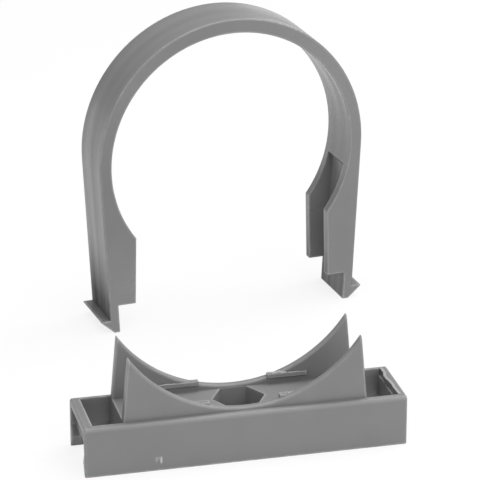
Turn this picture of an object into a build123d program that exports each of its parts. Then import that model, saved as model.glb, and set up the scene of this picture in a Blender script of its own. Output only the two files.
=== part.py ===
from build123d import *
from math import cos, radians, sin, sqrt, tan
import os

# Pipe clip in two grey mouldings for a pipe 110 mm across, taken apart.
# The base is an inverted channel with two saddle cheeks, a nut socket and two slots.
# The strap goes over the pipe, and its hooked legs go down through the slots and snap under
# the base's plate. Here it is off the pipe and stands on its own feet behind the base.
# X runs along the base, Y along the pipe and Z up. The origin is on the mounting surface,
# under the middle of the base. All sizes are millimetres.

# The pipe and the play between the pieces
pipe_radius = 55.0
pipe_play = 0.1
slot_play = 0.15
latch_play = 0.2

# Strap: ring and legs
ring_wall = 5.4              # at the ring's sides
crown_rise = 0.8             # how much thicker the ring is at its crown
strap_width = 25.6
ring_edge_round = 0.6
edge_bevel = 0.3             # along the rest of the strap's side faces
leg_lean = 3.0               # degrees that each free leg leans inwards
leg_wall = 4.2
leg_spread = 1.4             # how far the seated legs are pushed out beyond the ring's side
foot_land = 2.6              # flat underside of the leg's end
foot_round = 1.4

# Strap: hooks
hook_length = 5.7            # from the hook's flat top to the leg's lower end
hook_reach = 4.0
hook_edge = 0.5

# Strap: side flanges of the legs, and the pocket between them
flange_wall = 4.0
flange_depth = 12.2          # from the leg's outer face to the flange's inner edge, at its foot
flange_dip = 5.5             # how far the seated flange goes down below the plate's top
flange_lean = 1.2            # degrees that the inner edge leans, in line with the cheek's end
pocket_start = 13.0          # degrees below the axis where the pocket between flanges starts
pocket_slope = 2.5

# Where the strap stands, and its turn in degrees about the upright
stand_x = 27.0
stand_y = 140.0
stand_turn = 7.0

# Base: channel, top plate and inner cross walls
base_height = 20.8
plate_wall = 3.0
side_wall = 2.9
end_land = 3.7               # strip of plate beyond each slot
cross_wall = 1.4
cross_depth = 12.0           # from the plate's top down to the edge that the hooks catch under
long_edge_round = 2.0
end_edge_bevel = 0.5

# Snap bead inside each side wall, where the foot clips on
bead_height = 5.2
bead_reach = 1.2             # how far the bead stands in beyond the slot's side
bead_relief = 0.9
bead_relief_height = 9.4
bead_round = 0.7
wall_foot = 1.7

# Saddle cheeks and the four pads that the pipe rests on
cheek_wall = 3.3
cheek_setback = 0.25         # from the slot's side to the cheek's outer face
cheek_edge_round = 1.1
cheek_end_bevel = 0.3
cheek_tip_inset = 2.4        # how far the tip leans in from the cheek's foot
saddle_rise = 1.2            # from the plate up to the lowest point of the saddle
pad_start = 14.2
pad_end = 30.4
pad_stand = 1.2              # how far the pipe is held off the saddle
pad_wall = 1.6
pad_overhang = 0.7
pad_depth = 2.6

# Socket for a nut 18 mm across its flats, with the hole for its bolt
nut_flats = 18.0
nut_play = 0.6
nut_pocket_depth = 10.0
socket_wall = 2.4
socket_floor = 3.0
bolt_hole = 13.0

# Torn moulding edge along the outer side of the right slot
torn_depth = 1.0

# Two places nearer than this count as one
same_place = 0.01


# Sizes that follow from the ones above
ring_inner = pipe_radius + pipe_play
ring_outer = ring_inner + ring_wall
lean = radians(leg_lean)
slot_outer_x = ring_outer + leg_spread
slot_inner_x = slot_outer_x - flange_depth - slot_play
slot_half_width = strap_width / 2 + slot_play
base_length = 2 * (slot_outer_x + end_land)
base_width = 2 * (slot_half_width + side_wall)
plate_top = base_height
plate_under = base_height - plate_wall
saddle_radius = pipe_radius + pad_stand
seat_height = saddle_rise + saddle_radius       # from the plate up to the pipe's axis
pipe_axis = plate_top + seat_height
flange_drop = seat_height + flange_dip          # the drops are measured from the pipe's axis
hook_drop = seat_height + cross_depth + latch_play
leg_length = hook_drop + hook_length
cheek_tip_x = slot_inner_x - cheek_tip_inset
cheek_outer_y = slot_half_width - cheek_setback
cheek_inner_y = cheek_outer_y - cheek_wall
socket_flats = nut_flats + nut_play


def leg_outer(drop):
    """Distance from the middle to the leg's outer face, a given drop below the axis."""
    return (ring_outer - (drop + crown_rise) * sin(lean)) / cos(lean)


def leg_inner(drop):
    """Distance from the middle to the leg's inner face, a given drop below the axis."""
    return leg_outer(drop) - leg_wall / cos(lean)


def box_between(low, high):
    """A box from its lowest to its highest corner."""
    size = [b - a for a, b in zip(low, high)]
    middle = [(a + b) / 2 for a, b in zip(low, high)]
    return Pos(*middle) * Box(*size)


def both_ends(solid):
    """The solid and its mirror image at the other end of the clip."""
    return solid + mirror(solid, about=Plane.YZ)


def both_sides(solid):
    """The solid and its mirror image on the other side of the clip."""
    return solid + mirror(solid, about=Plane.XZ)


def channel():
    """Inverted channel: top plate and two side walls with a snap bead inside each foot."""
    outer = base_width / 2
    inner = slot_half_width
    relief = inner + bead_relief
    bead = inner - bead_reach
    foot = outer - wall_foot
    with BuildSketch(Plane.YZ) as section:
        with BuildLine():
            Polyline(
                (-outer, 0), (-outer, base_height), (outer, base_height), (outer, 0), (foot, 0),
                (bead, bead_height), (relief, bead_relief_height), (inner, plate_under),
                (-inner, plate_under), (-relief, bead_relief_height), (-bead, bead_height),
                (-foot, 0), (-outer, 0),
            )
        make_face()
        top_corners = section.vertices().sort_by(Axis.Y)[-2:]
        fillet(top_corners, long_edge_round)
        beads = [v for v in section.vertices() if abs(v.Z - bead_height) < same_place]
        fillet(beads, bead_round)
    return extrude(section.sketch, base_length / 2, both=True)


def cross_walls():
    """Walls under the plate along both sides of each slot, which the hooks catch under."""
    low, high = plate_top - cross_depth, plate_under
    reach = slot_half_width + bead_relief
    inner_wall = box_between((slot_inner_x - cross_wall, -reach, low), (slot_inner_x, reach, high))
    outer_wall = box_between((slot_outer_x, -reach, low), (slot_outer_x + cross_wall, reach, high))
    return both_ends(inner_wall + outer_wall)


def hexagon(across_flats, height):
    """Hexagonal prism with its corners along X, standing on the level z = 0."""
    return extrude(RegularPolygon(across_flats / 2, 6, major_radius=False), height)


def nut_boss():
    """Hexagonal boss under the plate, before its pocket is cut."""
    floor = plate_top - nut_pocket_depth - socket_floor
    return Pos(0, 0, floor) * hexagon(socket_flats + 2 * socket_wall, plate_under - floor)


def nut_pocket():
    """The nut's pocket, open at the top, and the bolt's hole through its floor."""
    pocket = Pos(0, 0, plate_top - nut_pocket_depth) * hexagon(socket_flats, nut_pocket_depth + saddle_rise)
    hole = Pos(0, 0, base_height / 2) * Cylinder(bolt_hole / 2, base_height)
    return pocket + hole


def cheek():
    """Rear saddle cheek, cut to the saddle's arc, with its upper edges rounded."""
    tip_z = pipe_axis - sqrt(saddle_radius ** 2 - cheek_tip_x ** 2)
    bottom = (0, pipe_axis - saddle_radius)
    with BuildSketch(Plane.XZ) as side:
        with BuildLine():
            Polyline(
                (cheek_tip_x, tip_z), (slot_inner_x, plate_top), (slot_inner_x, plate_under),
                (-slot_inner_x, plate_under), (-slot_inner_x, plate_top), (-cheek_tip_x, tip_z),
            )
            ThreePointArc((-cheek_tip_x, tip_z), bottom, (cheek_tip_x, tip_z))
        make_face()
    plate = extrude(side.sketch, -cheek_wall)
    plate = fillet(plate.edges().filter_by(GeomType.CIRCLE), cheek_edge_round)
    upright = [edge for edge in plate.edges().filter_by(GeomType.LINE)
               if abs(edge.tangent_at(0).Z) > same_place and edge.center().Z > plate_top]
    plate = chamfer(upright, cheek_end_bevel)
    return Pos(0, cheek_inner_y, 0) * plate


def pads():
    """Four low pads on the cheeks' inner edges, whose inner ends hold the pipe."""
    top = pipe_axis - sqrt(ring_inner ** 2 - pad_start ** 2)
    low = (pad_start, cheek_inner_y - pad_overhang, top - pad_wall)
    high = (pad_end, cheek_inner_y - pad_overhang + pad_depth, top)
    return both_sides(both_ends(box_between(low, high)))


def slot_cuts():
    """The two slots that the strap's legs go down through, past the beads to the foot."""
    low = (slot_inner_x, -slot_half_width, 0)
    high = (slot_outer_x, slot_half_width, plate_top + saddle_rise)
    return both_ends(box_between(low, high))


def torn_edge_cut():
    """Shallow ragged bites out of the plate along the outer side of the right slot."""
    x, y = slot_outer_x, slot_half_width
    bites = [
        (1.0, 0.7), (0.8, 0.85), (0.64, 0.9), (0.5, 0.35), (0.38, 0.0), (0.16, 0.2),
        (0.0, 0.6), (-0.22, 0.84), (-0.45, 0.7), (-0.64, 0.75), (-0.85, 0.95), (-1.0, 1.0),
    ]
    edge = [(x + torn_depth * bite, y * along) for along, bite in bites]
    with BuildSketch(Plane.XY.offset(plate_under)) as shape:
        with BuildLine():
            Polyline(edge + [(x - slot_play, -y), (x - slot_play, y), edge[0]])
        make_face()
    return extrude(shape.sketch, plate_wall)


def end_outline(solid):
    """The outer edges of the channel's two end faces: up one side, over the top and down."""
    ends = [edge for edge in solid.edges()
            if abs(abs(edge.center().X) - base_length / 2) < same_place and abs(edge.tangent_at(0).X) < same_place]
    return [edge for edge in ends if edge.center().Z > plate_under + long_edge_round / 2
            or abs(abs(edge.center().Y) - base_width / 2) < same_place]


def make_base():
    """The foot: one moulding."""
    base = channel() + cross_walls() + nut_boss() + both_sides(cheek()) + pads()
    base = base - slot_cuts() - nut_pocket() - torn_edge_cut()
    return chamfer(end_outline(base), end_edge_bevel)


def flange_edge_top():
    """Point where the flange's straight inner edge meets the ring's inner circle."""
    slope = tan(radians(flange_lean))
    foot_x = leg_outer(flange_drop) - flange_depth
    # Along the edge x = reach - slope * z, and on the circle x * x + z * z = ring_inner squared.
    reach = foot_x - slope * flange_drop
    a = 1 + slope ** 2
    z = (slope * reach - sqrt((slope * reach) ** 2 - a * (reach ** 2 - ring_inner ** 2))) / a
    return reach - slope * z, z


def leg_outline():
    """Points of the right leg from the hook's flat top round to the ring's inner circle."""
    hook_root = leg_outer(hook_drop)
    foot_corner = leg_inner(leg_length)
    return [
        (hook_root, -hook_drop),
        (hook_root + hook_reach, -hook_drop),
        (hook_root + hook_reach, -hook_drop - hook_edge),
        (foot_corner + foot_land, -leg_length),
        (foot_corner, -leg_length),
        (leg_inner(flange_drop), -flange_drop),
        (leg_outer(flange_drop) - flange_depth, -flange_drop),
        flange_edge_top(),
    ]


def flip(points):
    """The points mirrored to the left leg, in the same order round the outline."""
    return [(-x, z) for x, z in reversed(points)]


def strap_side():
    """Outline of the strap seen along the pipe, with the pipe's axis at the origin."""
    right = leg_outline()
    left = flip(right)
    leg_top = (ring_outer * cos(lean), crown_rise - ring_outer * sin(lean))
    with BuildSketch(Plane.XZ) as side:
        with BuildLine():
            ThreePointArc((-leg_top[0], leg_top[1]), (0, crown_rise + ring_outer), leg_top)
            Polyline([leg_top] + right)
            ThreePointArc(right[-1], (0, ring_inner), left[0])
            Polyline(left + [(-leg_top[0], leg_top[1])])
        make_face()
        foot_ends = [v for v in side.vertices() if abs(v.Z + leg_length) < same_place]
        foot_corners = [v for v in foot_ends if abs(abs(v.X) - leg_inner(leg_length)) < same_place]
        fillet(foot_corners, foot_round)
    return side.sketch


def pocket():
    """The right leg's pocket between its side flanges, as a block to cut away."""
    start = radians(pocket_start)
    top = (ring_inner * cos(start), -ring_inner * sin(start))
    floor_drop = -top[1] + pocket_slope
    clear_x = leg_outer(flange_drop) - 2 * flange_depth
    with BuildSketch(Plane.XZ) as side:
        with BuildLine():
            Polyline(
                top, (leg_inner(floor_drop), -floor_drop), (leg_inner(flange_drop), -flange_drop),
                (clear_x, -flange_drop), (clear_x, top[1]), top,
            )
        make_face()
    return extrude(side.sketch, strap_width / 2 - flange_wall, both=True)


def long_arcs(solid, radius):
    """The ring's edges of one radius, without the short arcs at the feet."""
    arcs = solid.edges().filter_by(GeomType.CIRCLE)
    return [edge for edge in arcs if abs(edge.radius - radius) < same_place and edge.length > radius]


def flange_edges(solid):
    """The straight edges of the strap's side faces, from the ring's inner circle to the leg's end."""
    sides = [edge for edge in solid.edges().filter_by(GeomType.LINE)
             if abs(abs(edge.center().Y) - strap_width / 2) < same_place and abs(edge.tangent_at(0).Y) < same_place]
    return [edge for edge in sides if abs(edge.center().X) < leg_inner(-edge.center().Z) + same_place]


def make_strap():
    """The band over the pipe: one moulding, standing on the ends of its legs."""
    strap = extrude(strap_side(), strap_width / 2, both=True) - both_ends(pocket())
    strap = fillet(long_arcs(strap, ring_outer), ring_edge_round)
    strap = chamfer(long_arcs(strap, ring_inner) + flange_edges(strap), edge_bevel)
    return Pos(stand_x, stand_y, leg_length) * Rot(0, 0, stand_turn) * strap


def main():
    os.makedirs("parts", exist_ok=True)
    pieces = {"base": make_base(), "strap": make_strap()}
    for name, piece in pieces.items():
        piece.label = name
        export_step(piece, f"parts/{name}.step")
        print(name, "volume", round(piece.volume), "size", piece.bounding_box().size)
    print("base length", round(base_length, 2), "width", round(base_width, 2))
    print("slot from", round(slot_inner_x, 2), "to", round(slot_outer_x, 2))
    print("seated pipe axis", round(pipe_axis, 2), "cross walls down to", round(plate_top - cross_depth, 2))


main()
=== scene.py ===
import math

import bmesh
import bpy
from mathutils import Matrix, Vector


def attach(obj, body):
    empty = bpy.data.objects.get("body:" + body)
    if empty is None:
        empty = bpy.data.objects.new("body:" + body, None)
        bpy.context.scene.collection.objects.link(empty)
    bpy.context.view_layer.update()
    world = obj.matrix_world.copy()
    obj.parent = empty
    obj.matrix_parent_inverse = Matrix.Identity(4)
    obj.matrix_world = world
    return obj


# A grey pipe clip in two mouldings, on a white table: the foot in front, the strap
# standing behind it. Everything is in metres, in the frame of the CAD model.
MM = 0.001

# The photograph's frame and the view that its edges and corners give
PICTURE = 480
FOCAL_PIXELS = 3000.0
SENSOR = 36.0
VIEW_SIDE = math.radians(-13.76)
VIEW_DOWN = math.radians(21.91)
VIEW_DISTANCE = 1196.54 * MM
VIEW_END = 20.0
PLATE_MIDDLE = Vector((0, 0, 20.8 * MM))
PLATE_MIDDLE_PIXEL = (238.52, 396.69)

# Where the strap stands, and its turn
STRAP_PLACE = (27 * MM, 140 * MM, 0)
STRAP_TURN = math.radians(7)

# Colours, as sRGB
PVC_GREY = "878787"
PVC_GREY_DEEP = "818181"
PVC_RECESS_SHADE = "6C6C6C"
PVC_LEG_DARK = "303030"
PVC_EDGE_WEAR_HIGHLIGHT = "AAAAAA"
PVC_WORN = "959595"
PVC_SCUFF = "C4C4C4"
PVC_WHITENED = "BCBCBC"
TABLE_WHITE = "DCDCDC"
LIGHT_WHITE = "FFFFFF"

# PVC-U: its refraction, how rough it is on each piece and where the legs are darkened, and how
# far that varies
PVC_IOR = 1.53
BASE_ROUGHNESS = 0.42
STRAP_ROUGHNESS = 0.32
TORN_ROUGHNESS = 0.8
LEG_DARK_ROUGHNESS = 0.85
ROUGHNESS_SPREAD = 0.08

# Flow marks are soft patches of this size. The mould's spark-eroded grain is about 0.1 mm; it
# is drawn at 0.5 mm so that it shows. Torn plastic is full of tiny cracks.
FLOW_SIZE = 14 * MM
GRAIN_SIZE = 0.5 * MM
GRAIN_HEIGHT = 0.05 * MM
GRAIN_STRENGTH = 0.12
CRACK_SIZE = 0.9 * MM
CRACK_HEIGHT = 0.1 * MM
CRACK_STRENGTH = 0.4

# Most of a noise's values lie in the first range, and more than half of them in the second
MOST_OF_NOISE = (0.3, 0.7)
HALF_OF_NOISE = (0.35, 0.65)

# Fine rounding that a mould leaves along every sharp edge
EDGE_ROUND = 0.35 * MM
BEVEL_SAMPLES = 6

# Outer edges are rubbed pale and carry a painted highlight over this width: of the rays sent
# inwards there, no more than these shares stay in the plastic. The paleness breaks up into
# pieces of this length.
EDGE_WEAR_HIGHLIGHT_WIDTH = 1.0 * MM
EDGE_WEAR_HIGHLIGHT_RANGE = (0.68, 0.98)
EDGE_WEAR_HIGHLIGHT_BREAKS = 5 * MM
EDGE_WEAR_HIGHLIGHT_LEAST = 0.45
RAY_SAMPLES = 8

# Shade is painted into recesses of this depth, where this much of the sky is open, at most this
# strongly
RECESS_DEPTH = 8 * MM
RECESS_SHADE_RANGE = (0.25, 0.8)
RECESS_SHADE_MOST = 0.9

# Scuffs on the front face: middle, half width and half height in mm, and how pale it is
FRONT_FACE = -15.85
SCUFFS = [((-35.10, 4.40), (0.62, 1.90), 1.0),
          ((-37.00, 4.85), (0.65, 1.40), 0.4),
          ((-36.05, 5.30), (0.90, 0.80), 0.3)]
SCUFF_REACH_IN = 0.5 * MM
SCUFF_FADE = (0.5, 1.1)
SCUFF_RAGGED = 0.5 * MM
SCUFF_RAGGED_SIZE = 0.8 * MM

# Drag marks with painted reflection streaks: streaks as long, wide and high as this, along the
# strap's own axes, and how strongly they are painted into the colour
DRAG_AND_REFLECTION_STREAK = (120 * MM, 6.0 * MM, 120 * MM)
PAINTED_STREAK_STRENGTH = 0.3

# The strap's legs are darker from the flat top of the hooks, darkest up to a height and back to
# their grey at another. Inner faces and the lighter streaks are darkened less.
HOOK_TOP = 5.7 * MM
HOOK_CORNER = 1 * MM
LEG_DARK_FOOT = 13.0 * MM
LEG_DARK_TOP = 46.0 * MM
LEG_DARK_FADE = 2.0
LEG_DARK_INNER = 0.5
LEG_DARK_STREAK = 0.5

# A plane through a broad face passes the strap's middle at more than the second distance, and
# one through a front or rear face at less than the first
BROAD_FACE = (20 * MM, 40 * MM)

# The torn side of the right slot, on the plate's upper face, and the threads of flash that were
# left on the pads. Each row has its height, flatness, radius, unevenness and radius of its
# crumbs, all but the flatness in mm, and the places that it runs through.
BURRS = [
    (20.85, 0.5, 0.60, 0.6, 0.40,
     [(62.85, 12.95), (63.00, 10.36), (63.05, 8.29), (62.50, 6.48), (62.15, 4.92), (62.35, 2.07),
      (62.75, 0.0), (62.99, -2.85), (62.85, -5.83), (62.90, -8.29), (63.10, -11.01),
      (63.15, -12.95)]),
    (25.0, 0.9, 0.30, 0.8, 0.25, [(-30.3, 9.0), (-28.7, 8.7), (-26.6, 8.9), (-24.2, 8.7)]),
    (25.1, 0.9, 0.60, 1.2, 0.60, [(15.0, 9.6), (16.5, 9.1), (18.5, 9.7), (21.5, 9.2)]),
    (25.0, 0.9, 0.28, 0.6, 0.20, [(22.6, 8.7), (25.0, 8.9), (27.6, 8.7)]),
    (25.0, 0.9, 0.34, 1.0, 0.50, [(17.8, -10.6), (18.7, -9.9), (20.2, -9.7)]),
]
BURR_SOCKETS = ["Burr radius", "Unevenness", "Step", "Flatness", "Crumb radius",
                "Crumb spacing", "Height"]
BURR_STEP = 0.35 * MM
BURR_SEED = 11
BURR_WANDER_SIZE = 1.6 * MM
BURR_THICKNESS = (0.55, 1.35)
BURR_SIDES = 10
CRUMB_SPACING = 1.2 * MM
CRUMB_DETAIL = 2
CRUMB_TURN = (6.28, 6.28, 6.28)
CRUMB_SMALLEST = (0.6, 0.6, 0.4)
CRUMB_LARGEST = (1.9, 1.5, 1.2)

# The table, how bright the camera sees it, and how bright the room is for the clip
TABLE_SIZE = 8.0
TABLE_GLOW = 1.07
TABLE_GLOW_SHARE = 0.78
ROOM_LIGHT = 0.32

# Soft lights, all turned to one point: name, place, width, height and watts
LIGHTS_AIM = (0, 0.06, 0.05)
SOFTBOXES = [
    ("top_softbox", (0.05, 0.1, 1.3), 1.0, 1.0, 7.3),
    ("left_softbox", (-1.2, -0.8, 0.6), 0.9, 0.7, 2.0),
    ("right_softbox", (0.8, -1.1, 0.6), 0.9, 0.7, 4.6),
    ("rear_softbox", (0.75, 0.35, 1.0), 0.7, 0.7, 5.1),
    ("front_softbox", (0.1, -0.8, 1.1), 0.8, 0.8, 4.2),
    ("backdrop_strip", (0.7, 1.75, 0.25), 0.9, 0.35, 0.8),
]


def linear(code):
    """The linear colour of an sRGB hex value."""
    parts = [int(code[i:i + 2], 16) / 255 for i in (0, 2, 4)]
    return [p / 12.92 if p <= 0.04045 else ((p + 0.055) / 1.055) ** 2.4 for p in parts] + [1.0]


def add(tree, kind, settings=None, inputs=None, links=None):
    """Adds a node: its own settings, the values of its sockets and what feeds them."""
    node = tree.nodes.new(kind)
    for name, value in (settings or {}).items():
        setattr(node, name, value)
    for socket, value in (inputs or {}).items():
        node.inputs[socket].default_value = value
    for socket, source in (links or {}).items():
        tree.links.new(source, node.inputs[socket])
    return node


def noise(tree, size, detail, roughness=0.5, over=None):
    """A noise with patches of a size, over given coordinates or over a mesh's positions."""
    return add(tree, "ShaderNodeTexNoise",
               inputs={"Scale": 1 / size, "Detail": detail, "Roughness": roughness},
               links={} if over is None else {"Vector": over})


def ramp(tree, value, start, end, low=0.0, high=1.0, smooth=False):
    """Carries a value from one range to another, and holds it at both ends."""
    return add(tree, "ShaderNodeMapRange",
               {"interpolation_type": "SMOOTHSTEP" if smooth else "LINEAR"},
               {"From Min": start, "From Max": end, "To Min": low, "To Max": high},
               {"Value": value}).outputs[0]


def combine(tree, operation, *values):
    """Joins values one after the other with a maths operation."""
    total = values[0]
    for value in values[1:]:
        total = add(tree, "ShaderNodeMath", {"operation": operation},
                    links={0: total, 1: value}).outputs[0]
    return total


def coat(tree, tone, share, code):
    """Lays a colour over a tone, by its share."""
    return add(tree, "ShaderNodeMix", {"data_type": "RGBA"}, {7: linear(code)},
               {0: share, 6: tone}).outputs[2]


def seen_by(tree, *rays):
    """1 for rays of the given kinds, and 0 for all others."""
    path = add(tree, "ShaderNodeLightPath")
    return combine(tree, "MAXIMUM", *[path.outputs[f"Is {ray} Ray"] for ray in rays])


def new_material(name):
    """An empty material of that name, with its node tree."""
    material = bpy.data.materials.new(name)
    material.use_nodes = True
    material.node_tree.nodes.clear()
    return material, material.node_tree


def edge_wear_and_highlight(tree, place):
    """How far a place is rubbed pale and painted with an edge highlight: 1 on an outer edge, 0
    on the faces, in broken lines.
    """
    # Rays sent into the plastic leave it again at once only beside an outer edge.
    depth = add(tree, "ShaderNodeAmbientOcclusion",
                {"inside": True, "only_local": True, "samples": RAY_SAMPLES},
                {"Distance": EDGE_WEAR_HIGHLIGHT_WIDTH})
    edge = ramp(tree, depth.outputs["AO"], *EDGE_WEAR_HIGHLIGHT_RANGE, 1.0, 0.0, smooth=True)
    breaks = noise(tree, EDGE_WEAR_HIGHLIGHT_BREAKS, 2.0, over=place)
    share = ramp(tree, breaks.outputs["Fac"], *HALF_OF_NOISE, EDGE_WEAR_HIGHLIGHT_LEAST, 1.0)
    return combine(tree, "MULTIPLY", edge, share)


def painted_recess_shade(tree):
    """How much painted shade a place gets: most deep in a slot or corner, 0 on the open faces.
    """
    open_sky = add(tree, "ShaderNodeAmbientOcclusion",
                   {"only_local": True, "samples": RAY_SAMPLES}, {"Distance": RECESS_DEPTH})
    return ramp(tree, open_sky.outputs["AO"], *RECESS_SHADE_RANGE, RECESS_SHADE_MOST, 0.0)


def scuff_marks(tree, place):
    """The short pale strokes on the foot's front face, with ragged outlines."""
    wander = noise(tree, SCUFF_RAGGED_SIZE, 2.0, over=place)
    ragged = add(tree, "ShaderNodeVectorMath", {"operation": "MULTIPLY_ADD"},
                 {1: (SCUFF_RAGGED, 0, SCUFF_RAGGED)}, {0: wander.outputs["Color"], 2: place})
    marks = []
    for (x, z), (half_width, half_height), strength in SCUFFS:
        # The noise is 0.5 on average, which shifts every place by half of SCUFF_RAGGED.
        middle = (x * MM + SCUFF_RAGGED / 2, FRONT_FACE * MM, z * MM + SCUFF_RAGGED / 2)
        away = add(tree, "ShaderNodeVectorMath", {"operation": "SUBTRACT"}, {1: middle},
                   {0: ragged.outputs[0]})
        scaled = add(tree, "ShaderNodeVectorMath", {"operation": "DIVIDE"},
                     {1: (half_width * MM, SCUFF_REACH_IN, half_height * MM)},
                     {0: away.outputs[0]})
        size = add(tree, "ShaderNodeVectorMath", {"operation": "LENGTH"},
                   links={0: scaled.outputs[0]})
        marks.append(ramp(tree, size.outputs["Value"], *SCUFF_FADE, strength, 0.0, smooth=True))
    return combine(tree, "MAXIMUM", *marks)


def drag_and_reflection_streaks(tree, place):
    """Long fine streaks round the band: drag marks where the strap was pulled over its core, and
    painted reflection streaks.
    """
    turned = add(tree, "ShaderNodeMapping", {"vector_type": "TEXTURE"},
                 {"Rotation": (0, 0, STRAP_TURN), "Scale": DRAG_AND_REFLECTION_STREAK}, {"Vector": place})
    return noise(tree, 1.0, 4.0, over=turned.outputs[0]).outputs["Fac"]


def leg_darkening(tree, place, streaks):
    """Darker streaks up the legs' broad faces from the hooks, fading out higher up."""
    height = add(tree, "ShaderNodeSeparateXYZ", links={0: place}).outputs["Z"]
    rising = ramp(tree, height, LEG_DARK_FOOT, LEG_DARK_TOP, 1.0, 0.0)
    fading = add(tree, "ShaderNodeMath", {"operation": "POWER"}, {1: LEG_DARK_FADE}, {0: rising})
    above_hook = ramp(tree, height, HOOK_TOP - HOOK_CORNER, HOOK_TOP)
    # Faces that look away from the strap's middle are the darkest, those that look at it are
    # darkened less, and the front and rear faces are not darkened.
    facing = add(tree, "ShaderNodeNewGeometry")
    offset = add(tree, "ShaderNodeVectorMath", {"operation": "SUBTRACT"}, {1: STRAP_PLACE},
                 {0: place})
    away = add(tree, "ShaderNodeVectorMath", {"operation": "DOT_PRODUCT"},
               links={0: offset.outputs[0], 1: facing.outputs["True Normal"]}).outputs["Value"]
    outer = combine(tree, "MULTIPLY", ramp(tree, away, *BROAD_FACE), above_hook)
    inner = ramp(tree, away, *[-reach for reach in BROAD_FACE], 0.0, LEG_DARK_INNER)
    spread = combine(tree, "MAXIMUM", outer, inner)
    streaky = ramp(tree, streaks, *HALF_OF_NOISE, 1.0, LEG_DARK_STREAK)
    return combine(tree, "MULTIPLY", fading.outputs[0], spread, streaky)


def moulded_pvc(name, roughness, scuffed=False, streaked_and_darkened=False):
    """Injection moulded PVC-U: a satin grey, with flow marks, rubbed edges with a painted
    highlight, painted shade in recesses and a fine grain.
    """
    material, tree = new_material(name)
    place = add(tree, "ShaderNodeTexCoord").outputs["Object"]
    flow = noise(tree, FLOW_SIZE, 3.0, 0.55, over=place).outputs["Fac"]
    tone = add(tree, "ShaderNodeMix", {"data_type": "RGBA"},
               {6: linear(PVC_GREY_DEEP), 7: linear(PVC_GREY)}, {0: flow}).outputs[2]
    shine_and_streaks = flow
    if streaked_and_darkened:
        shine_and_streaks = drag_and_reflection_streaks(tree, place)
        # Painted reflection streaks: the same streaks lighten and darken the colour.
        tone = add(tree, "ShaderNodeMix", {"data_type": "RGBA", "blend_type": "SOFT_LIGHT"},
                   {0: PAINTED_STREAK_STRENGTH}, {6: tone, 7: shine_and_streaks}).outputs[2]
        # The legs' broad faces darker towards the hooks
        leg_dark = leg_darkening(tree, place, shine_and_streaks)
        tone = coat(tree, tone, leg_dark, PVC_LEG_DARK)
    # Painted shade darkens the slots and corners
    tone = coat(tree, tone, painted_recess_shade(tree), PVC_RECESS_SHADE)
    # Pale rubbed edges with a painted highlight along them
    tone = coat(tree, tone, edge_wear_and_highlight(tree, place), PVC_EDGE_WEAR_HIGHLIGHT)
    if scuffed:
        tone = coat(tree, tone, scuff_marks(tree, place), PVC_SCUFF)
    grain = noise(tree, GRAIN_SIZE, 2.0, over=place)
    # Every edge catches the light along a narrow round.
    soft = add(tree, "ShaderNodeBevel", {"samples": BEVEL_SAMPLES}, {"Radius": EDGE_ROUND})
    bump = add(tree, "ShaderNodeBump",
               inputs={"Strength": GRAIN_STRENGTH, "Distance": GRAIN_HEIGHT},
               links={"Height": grain.outputs["Fac"], "Normal": soft.outputs[0]})
    gloss = ramp(tree, shine_and_streaks, *MOST_OF_NOISE, roughness + ROUGHNESS_SPREAD,
                 roughness - ROUGHNESS_SPREAD)
    if streaked_and_darkened:
        # Where the legs are darkened they are also matt.
        gloss = add(tree, "ShaderNodeMix", {"data_type": "FLOAT"}, {3: LEG_DARK_ROUGHNESS},
                    {0: leg_dark, 2: gloss}).outputs[0]
    shader = add(tree, "ShaderNodeBsdfPrincipled", inputs={"IOR": PVC_IOR, "Metallic": 0.0},
                 links={"Base Color": tone, "Roughness": gloss,
                        "Normal": bump.outputs["Normal"]})
    add(tree, "ShaderNodeOutputMaterial", links={"Surface": shader.outputs[0]})
    return material


def stress_whitened_pvc():
    """PVC-U where it was torn: tiny cracks scatter the light, so it is pale and matt."""
    material, tree = new_material("stress_whitened_pvc_u")
    place = add(tree, "ShaderNodeTexCoord").outputs["Object"]
    cracks = noise(tree, CRACK_SIZE, 4.0, over=place).outputs["Fac"]
    tone = add(tree, "ShaderNodeMix", {"data_type": "RGBA"},
               {6: linear(PVC_WORN), 7: linear(PVC_WHITENED)}, {0: cracks})
    bump = add(tree, "ShaderNodeBump",
               inputs={"Strength": CRACK_STRENGTH, "Distance": CRACK_HEIGHT},
               links={"Height": cracks})
    shader = add(tree, "ShaderNodeBsdfPrincipled",
                 inputs={"IOR": PVC_IOR, "Metallic": 0.0, "Roughness": TORN_ROUGHNESS},
                 links={"Base Color": tone.outputs[2], "Normal": bump.outputs["Normal"]})
    add(tree, "ShaderNodeOutputMaterial", links={"Surface": shader.outputs[0]})
    return material


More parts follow.
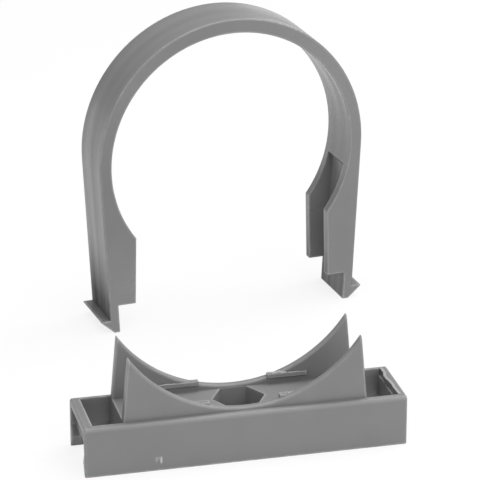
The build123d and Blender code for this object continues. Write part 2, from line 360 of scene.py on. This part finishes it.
def burr_tree(material):
    """Nodes that turn a path into an uneven rolled burr with torn crumbs along it."""
    tree = bpy.data.node_groups.new("torn_burr", "GeometryNodeTree")
    tree.is_modifier = True
    tree.interface.new_socket("Path", in_out="INPUT", socket_type="NodeSocketGeometry")
    for name in BURR_SOCKETS:
        tree.interface.new_socket(name, in_out="INPUT", socket_type="NodeSocketFloat")
    tree.interface.new_socket("Seed", in_out="INPUT", socket_type="NodeSocketInt")
    tree.interface.new_socket("Burr", in_out="OUTPUT", socket_type="NodeSocketGeometry")

    # The rolled edge: a tube of uneven thickness along the wandering path
    given = add(tree, "NodeGroupInput").outputs
    curve = add(tree, "GeometryNodeMeshToCurve", links={0: given["Path"]})
    fine = add(tree, "GeometryNodeResampleCurve", {"mode": "LENGTH"},
               links={"Curve": curve.outputs[0], "Length": given["Step"]})
    wander = noise(tree, BURR_WANDER_SIZE, 3.0)
    centred = add(tree, "ShaderNodeVectorMath", {"operation": "SUBTRACT"}, {1: (0.5, 0.5, 0.5)},
                  {0: wander.outputs["Color"]})
    shift = add(tree, "ShaderNodeVectorMath", {"operation": "SCALE"},
                links={0: centred.outputs[0], "Scale": given["Unevenness"]})
    bent = add(tree, "GeometryNodeSetPosition",
               links={"Geometry": fine.outputs[0], "Offset": shift.outputs[0]})
    thick = ramp(tree, wander.outputs["Fac"], *MOST_OF_NOISE, *BURR_THICKNESS)
    sized = add(tree, "GeometryNodeSetCurveRadius",
                links={"Curve": bent.outputs[0], "Radius": thick})
    profile = add(tree, "GeometryNodeCurvePrimitiveCircle", inputs={"Resolution": BURR_SIDES},
                  links={"Radius": given["Burr radius"]})
    tube = add(tree, "GeometryNodeCurveToMesh", inputs={"Fill Caps": True},
               links={"Curve": sized.outputs[0], "Profile Curve": profile.outputs[0]})

    # The crumbs: stretched and turned lumps, spaced along the same path
    sparse = add(tree, "GeometryNodeResampleCurve", {"mode": "LENGTH"},
                 links={"Curve": bent.outputs[0], "Length": given["Crumb spacing"]})
    crumb = add(tree, "GeometryNodeMeshIcoSphere", inputs={"Subdivisions": CRUMB_DETAIL},
                links={"Radius": given["Crumb radius"]})
    turn = add(tree, "FunctionNodeRandomValue", {"data_type": "FLOAT_VECTOR"},
               {0: (0, 0, 0), 1: CRUMB_TURN}, {"Seed": given["Seed"]})
    stretch = add(tree, "FunctionNodeRandomValue", {"data_type": "FLOAT_VECTOR"},
                  {0: CRUMB_SMALLEST, 1: CRUMB_LARGEST}, {"Seed": given["Seed"]})
    crumbs = add(tree, "GeometryNodeInstanceOnPoints",
                 links={"Points": sparse.outputs[0], "Instance": crumb.outputs[0],
                        "Rotation": turn.outputs[0], "Scale": stretch.outputs[0]})

    # Both together, pressed flat, raised to their height and painted
    joined = add(tree, "GeometryNodeJoinGeometry")
    tree.links.new(tube.outputs[0], joined.inputs[0])
    tree.links.new(crumbs.outputs[0], joined.inputs[0])
    real = add(tree, "GeometryNodeRealizeInstances", links={0: joined.outputs[0]})
    pressed = add(tree, "ShaderNodeCombineXYZ", inputs={"X": 1.0, "Y": 1.0},
                  links={"Z": given["Flatness"]})
    raised = add(tree, "ShaderNodeCombineXYZ", links={"Z": given["Height"]})
    flat = add(tree, "GeometryNodeTransform",
               links={"Geometry": real.outputs[0], "Scale": pressed.outputs[0],
                      "Translation": raised.outputs[0]})
    painted = add(tree, "GeometryNodeSetMaterial", inputs={"Material": material},
                  links={"Geometry": flat.outputs[0]})
    add(tree, "NodeGroupOutput", links={0: painted.outputs[0]})
    return tree


def burr(tree, height, flatness, radius, unevenness, crumb_radius, places):
    """The mesh of one burr along its places."""
    mesh = bpy.data.meshes.new("burr_path")
    mesh.from_pydata([(x * MM, y * MM, 0) for x, y in places],
                     [(i, i + 1) for i in range(len(places) - 1)], [])
    path = bpy.data.objects.new("burr_path", mesh)
    bpy.context.scene.collection.objects.link(path)
    modifier = path.modifiers.new("burr", "NODES")
    modifier.node_group = tree
    values = {"Burr radius": radius * MM, "Unevenness": unevenness * MM, "Step": BURR_STEP,
              "Flatness": flatness, "Crumb radius": crumb_radius * MM,
              "Crumb spacing": CRUMB_SPACING, "Height": height * MM, "Seed": BURR_SEED}
    for item in tree.interface.items_tree:
        if item.name in values:
            modifier[item.identifier] = values[item.name]
    ready = path.evaluated_get(bpy.context.evaluated_depsgraph_get())
    result = bpy.data.meshes.new_from_object(ready)
    bpy.data.objects.remove(path)
    return result


def burrs(material):
    """The pale torn rim of the right slot and the flash on the pads, as one mesh."""
    tree = burr_tree(material)
    joined = bmesh.new()
    for row in BURRS:
        joined.from_mesh(burr(tree, *row))
    mesh = bpy.data.meshes.new("torn_rim_and_flash")
    joined.to_mesh(mesh)
    joined.free()
    mesh.materials.append(material)
    piece = bpy.data.objects.new("torn_rim_and_flash", mesh)
    bpy.context.scene.collection.objects.link(piece)
    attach(piece, "base")


def finish_with(node_name, material):
    """Gives a CAD node its moulded material."""
    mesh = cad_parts[node_name].data
    mesh.materials.clear()
    mesh.materials.append(material)


def white_table():
    """A plain pale table top that the camera sees as white, with the clip's soft shadow."""
    material, tree = new_material("white_laminate_table")
    board = add(tree, "ShaderNodeBsdfDiffuse", inputs={"Color": linear(TABLE_WHITE)})
    light = add(tree, "ShaderNodeEmission",
                inputs={"Color": linear(LIGHT_WHITE), "Strength": TABLE_GLOW})
    seen = seen_by(tree, "Camera", "Glossy", "Transmission")
    share = add(tree, "ShaderNodeMath", {"operation": "MULTIPLY"}, {1: TABLE_GLOW_SHARE},
                {0: seen})
    mixed = add(tree, "ShaderNodeMixShader",
                links={0: share.outputs[0], 1: board.outputs[0], 2: light.outputs[0]})
    add(tree, "ShaderNodeOutputMaterial", links={"Surface": mixed.outputs[0]})
    bpy.ops.mesh.primitive_plane_add(size=TABLE_SIZE, location=(0, 0, 0))
    table = bpy.context.object
    table.name = "table_top"
    table.data.materials.append(material)


def surroundings():
    """A white room for the camera, and an even grey light for the clip."""
    world = bpy.data.worlds.new("studio")
    world.use_nodes = True
    bpy.context.scene.world = world
    tree = world.node_tree
    tree.nodes.clear()
    seen = seen_by(tree, "Camera", "Transmission")
    room = add(tree, "ShaderNodeBackground",
               inputs={"Color": linear(LIGHT_WHITE), "Strength": ROOM_LIGHT})
    white = add(tree, "ShaderNodeBackground",
                inputs={"Color": linear(LIGHT_WHITE), "Strength": 1.0})
    mixed = add(tree, "ShaderNodeMixShader",
                links={0: seen, 1: room.outputs[0], 2: white.outputs[0]})
    add(tree, "ShaderNodeOutputWorld", links={"Surface": mixed.outputs[0]})


def softbox(name, place, width, height, watts):
    """A rectangular soft light at a place, turned to the clip."""
    lamp = bpy.data.lights.new(name, "AREA")
    lamp.shape = "RECTANGLE"
    lamp.size = width
    lamp.size_y = height
    lamp.energy = watts
    holder = bpy.data.objects.new(name, lamp)
    holder.location = place
    towards = Vector(LIGHTS_AIM) - Vector(place)
    holder.rotation_euler = towards.to_track_quat("-Z", "Y").to_euler()
    holder.visible_camera = False
    bpy.context.scene.collection.objects.link(holder)


def photograph_camera():
    """The camera where the photograph was taken from, by the fit to its edges."""
    right = Vector((math.cos(VIEW_SIDE), math.sin(VIEW_SIDE), 0))
    ahead = Vector((-math.sin(VIEW_SIDE) * math.cos(VIEW_DOWN),
                    math.cos(VIEW_SIDE) * math.cos(VIEW_DOWN), -math.sin(VIEW_DOWN)))
    up = right.cross(ahead)
    across = (PLATE_MIDDLE_PIXEL[0] - PICTURE / 2) * VIEW_DISTANCE / FOCAL_PIXELS
    above = -(PLATE_MIDDLE_PIXEL[1] - PICTURE / 2) * VIEW_DISTANCE / FOCAL_PIXELS
    place = PLATE_MIDDLE - across * right - above * up - VIEW_DISTANCE * ahead
    data = bpy.data.cameras.new("camera")
    data.sensor_width = SENSOR
    data.lens = SENSOR * FOCAL_PIXELS / PICTURE
    data.clip_end = VIEW_END
    camera = bpy.data.objects.new("camera", data)
    turn = Matrix((right, up, -ahead)).transposed()
    camera.matrix_world = Matrix.Translation(place) @ turn.to_4x4()
    bpy.context.scene.collection.objects.link(camera)
    bpy.context.scene.camera = camera


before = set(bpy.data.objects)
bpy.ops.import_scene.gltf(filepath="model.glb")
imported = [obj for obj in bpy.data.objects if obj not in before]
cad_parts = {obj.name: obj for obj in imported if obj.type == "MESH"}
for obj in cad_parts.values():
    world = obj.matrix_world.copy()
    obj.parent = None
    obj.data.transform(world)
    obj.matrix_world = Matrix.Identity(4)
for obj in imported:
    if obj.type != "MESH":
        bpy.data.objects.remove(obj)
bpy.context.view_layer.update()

finish_with("base", moulded_pvc("moulded_pvc_u_scuffed", BASE_ROUGHNESS, scuffed=True))
finish_with("strap", moulded_pvc("moulded_pvc_u_grey", STRAP_ROUGHNESS, streaked_and_darkened=True))
burrs(stress_whitened_pvc())

white_table()
surroundings()
for row in SOFTBOXES:
    softbox(*row)
photograph_camera()
bpy.context.scene.view_settings.view_transform = "Standard"
